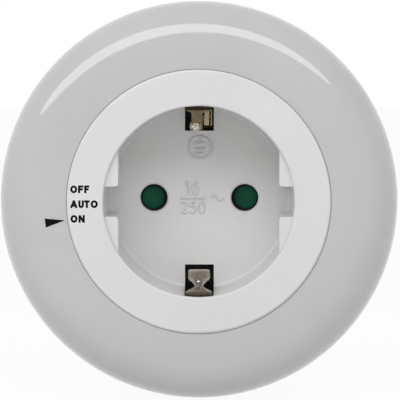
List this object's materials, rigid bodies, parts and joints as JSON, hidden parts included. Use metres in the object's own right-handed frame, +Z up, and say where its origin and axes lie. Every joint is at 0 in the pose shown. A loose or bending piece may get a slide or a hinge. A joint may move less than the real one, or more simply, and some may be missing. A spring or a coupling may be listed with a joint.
{
  "type": "plug-in night light",
  "caption": "Round plug-in night light: an opal ring that turns as its switch, around a recessed earthed socket, with a wall plug behind.",
  "frame": {"origin": "on the plug's axis in the plane where the housing meets the wall", "axes": "+Y into the wall along the plug pins, -Y towards the viewer, +Z up"},
  "size_m": [0.082, 0.0677, 0.082],
  "materials": {
    "insert_white": "moulded, lightly polished",
    "housing_white": "moulded, fine matt texture",
    "diffuser_opal": "opal, polished",
    "shutter_green": "moulded",
    "carrier_ivory": "moulded",
    "nickel": "nickel plated, rubbed",
    "contact_brass": "stamped",
    "board_green": "solder mask",
    "led_white": "moulded with a phosphor lens",
    "sensor_resin": "clear-coated cell",
    "capacitor_yellow": "moulded box",
    "capacitor_can": "drawn can",
    "component_black": "moulded",
    "slider_white": "moulded",
    "resistor_lacquer": "lacquered",
    "wire_brown": "insulated",
    "wire_blue": "insulated",
    "screw_steel": "zinc plated"
  },
  "bodies": {
    "housing": {"bleed_resistor": "resistor_lacquer", "board_screws": "screw_steel", "bridge_rectifier": "component_black", "circuit_board": "board_green", "contact_carrier": "carrier_ivory", "contact_sleeve_left": "contact_brass", "contact_sleeve_right": "contact_brass", "contact_strip_left": "contact_brass", "contact_strip_right": "contact_brass", "earth_link": "contact_brass", "earth_strip_bottom": "nickel", "earth_strip_top": "nickel", "electrolytic_capacitor": "capacitor_can", "film_capacitor": "capacitor_yellow", "fusible_resistor": "resistor_lacquer", "housing_collar": "housing_white", "housing_screws": "screw_steel", "led_1": "led_white", "led_2": "led_white", "led_3": "led_white", "led_4": "led_white", "led_5": "led_white", "led_6": "led_white", "light_sensor": "sensor_resin", "plug_body": "housing_white", "plug_pin_left": "nickel", "plug_pin_right": "nickel", "rear_housing": "housing_white", "shutter_spring": "screw_steel", "socket_cup": "insert_white", "switch_body": "component_black", "transistor": "component_black", "wire_live": "wire_brown", "wire_neutral": "wire_blue"},
    "diffuser_ring": {"diffuser": "diffuser_opal"},
    "slider": {"switch_slider": "slider_white"},
    "safety_shutter": {"shutter": "shutter_green"},
    "top_clip": {"earth_clip_top": "nickel"},
    "bottom_clip": {"earth_clip_bottom": "nickel"}
  },
  "joints": [
    {"name": "diffuser_turn", "type": "hinge", "parent": "housing", "child": "diffuser_ring", "pos_m": [0, 0, 0], "axis": [0, 1, 0], "range_deg": [0, 14.1]},
    {"name": "switch_slide", "type": "slide", "parent": "housing", "child": "slider", "axis": [-1, 0, 0], "range_m": [0, 0.00739]},
    {"name": "shutter_turn", "type": "hinge", "parent": "housing", "child": "safety_shutter", "pos_m": [0, -0.01, 0], "axis": [0, 1, 0], "range_deg": [0, 38], "stiffness_Nm_per_rad": 0.004, "springref_deg": -20.05},
    {"name": "earth_clip_top_flex", "type": "hinge", "parent": "housing", "child": "top_clip", "pos_m": [0, -0.01, 0.0159], "axis": [-1, 0, 0], "range_deg": [0, 4], "stiffness_Nm_per_rad": 0.3},
    {"name": "earth_clip_bottom_flex", "type": "hinge", "parent": "housing", "child": "bottom_clip", "pos_m": [0, -0.01, -0.0159], "axis": [1, 0, 0], "range_deg": [0, 4], "stiffness_Nm_per_rad": 0.3}
  ],
  "couplings": [
    {"joint": "switch_slide", "follows": "diffuser_turn", "m_per_rad": 0.03}
  ]
}
